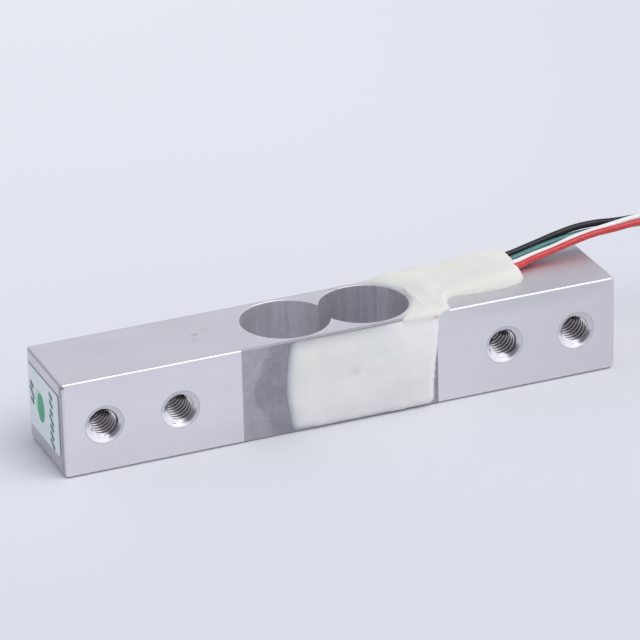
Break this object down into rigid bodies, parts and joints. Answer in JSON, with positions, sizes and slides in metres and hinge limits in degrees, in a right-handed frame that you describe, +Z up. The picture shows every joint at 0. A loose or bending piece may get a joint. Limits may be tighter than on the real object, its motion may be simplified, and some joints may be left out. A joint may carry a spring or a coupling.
{
  "type": "micro load cell",
  "caption": "Square aluminium load cell bar with a peanut-shaped through bore, threaded mounting holes, silicone-covered strain gauges and loose signal leads.",
  "frame": {"origin": "middle of the bar's underside, on the surface that the bar lies on", "axes": "+X along the bar towards the end that the leads point to; +Z up, along the double bore; the threaded holes run along Y and -Y is the gauged face that the picture shows"},
  "size_m": [0.1428, 0.0157, 0.0161],
  "materials": {
    "satin_aluminium": "satin, bead blasted, with a sanded band over the gauges",
    "label_paper": "matt white sticker",
    "gauge_film": "amber film with a metal foil grid",
    "board_laminate": "green laminate with tinned pads",
    "enamelled_copper": "enamelled",
    "tinned_copper": "tinned",
    "white_silicone": "smeared white silicone",
    "ivory_silicone": "dabbed ivory silicone",
    "tie_band": "matt",
    "red_jacket": "smooth lead insulation",
    "white_jacket": "smooth lead insulation",
    "green_jacket": "smooth lead insulation",
    "black_jacket": "smooth lead insulation"
  },
  "bodies": {
    "root": {"beam": "satin_aluminium", "end_label": "label_paper", "front_gauge_left": "gauge_film", "front_gauge_right": "gauge_film", "rear_gauge_left": "gauge_film", "rear_gauge_right": "gauge_film", "terminal_board": "board_laminate", "front_gauge_wire_1": "enamelled_copper", "front_gauge_wire_2": "enamelled_copper", "front_gauge_wire_3": "enamelled_copper", "front_link_wire": "enamelled_copper", "rear_gauge_wire_1": "enamelled_copper", "rear_gauge_wire_2": "enamelled_copper", "rear_gauge_wire_3": "enamelled_copper", "rear_link_wire": "enamelled_copper", "red_lead_core": "tinned_copper", "white_lead_core": "tinned_copper", "green_lead_core": "tinned_copper", "black_lead_core": "tinned_copper", "front_coat": "white_silicone", "rear_coat": "white_silicone", "wire_bead": "ivory_silicone", "red_lead": "red_jacket", "white_lead": "white_jacket", "green_lead": "green_jacket", "black_lead": "black_jacket", "lead_hank": "black_jacket", "hank_tie": "tie_band", "red_lead_tail": "red_jacket", "white_lead_tail": "white_jacket", "green_lead_tail": "green_jacket", "black_lead_tail": "black_jacket", "red_lead_tip": "tinned_copper", "white_lead_tip": "tinned_copper", "green_lead_tip": "tinned_copper", "black_lead_tip": "tinned_copper"}
  },
  "joints": []
}
